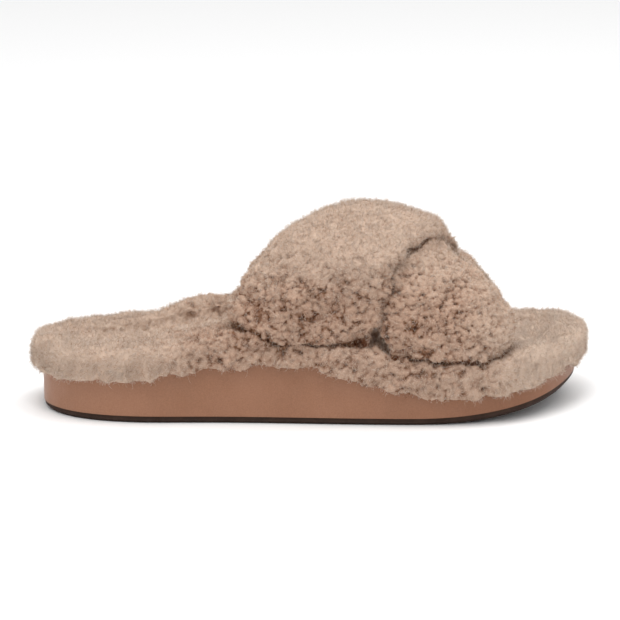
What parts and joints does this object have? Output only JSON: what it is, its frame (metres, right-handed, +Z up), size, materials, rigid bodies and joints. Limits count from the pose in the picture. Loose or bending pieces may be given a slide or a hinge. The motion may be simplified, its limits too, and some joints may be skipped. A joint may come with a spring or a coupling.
{
  "type": "house slipper",
  "caption": "Fluffy crossover slide slipper: two padded fleece straps over a fleece footbed, on a leather-wrapped midsole with a thin rubber outsole.",
  "frame": {"origin": "on the ground, under the centre of the slipper's bounding box", "axes": "+X towards the toe, +Y towards the inner side of the foot, +Z up"},
  "size_m": [0.2751, 0.1045, 0.1001],
  "materials": {
    "outsole_rubber": "matte, fine grain",
    "midsole_foam": "closed-cell foam",
    "wrap_leather": "soft semi-matte, fine grain",
    "felt": "felt",
    "fibre_board": "pressed fibre",
    "soft_foam": "open-cell foam",
    "shearling": "curly wool pile",
    "stiffener": "non-woven tape",
    "suede_lining": "suede nap",
    "thread": "twisted thread"
  },
  "bodies": {
    "root": {"outsole": "outsole_rubber", "midsole": "midsole_foam", "midsole_wrap": "wrap_leather", "bottom_filler": "felt", "insole_board": "fibre_board", "footbed_foam": "soft_foam", "footbed_shearling": "shearling", "over_strap_shearling": "shearling", "over_strap_reinforcement": "stiffener", "over_strap_lining": "suede_lining", "over_strap_stitching": "thread", "under_strap_shearling": "shearling", "under_strap_reinforcement": "stiffener", "under_strap_lining": "suede_lining", "under_strap_stitching": "thread"}
  },
  "joints": []
}
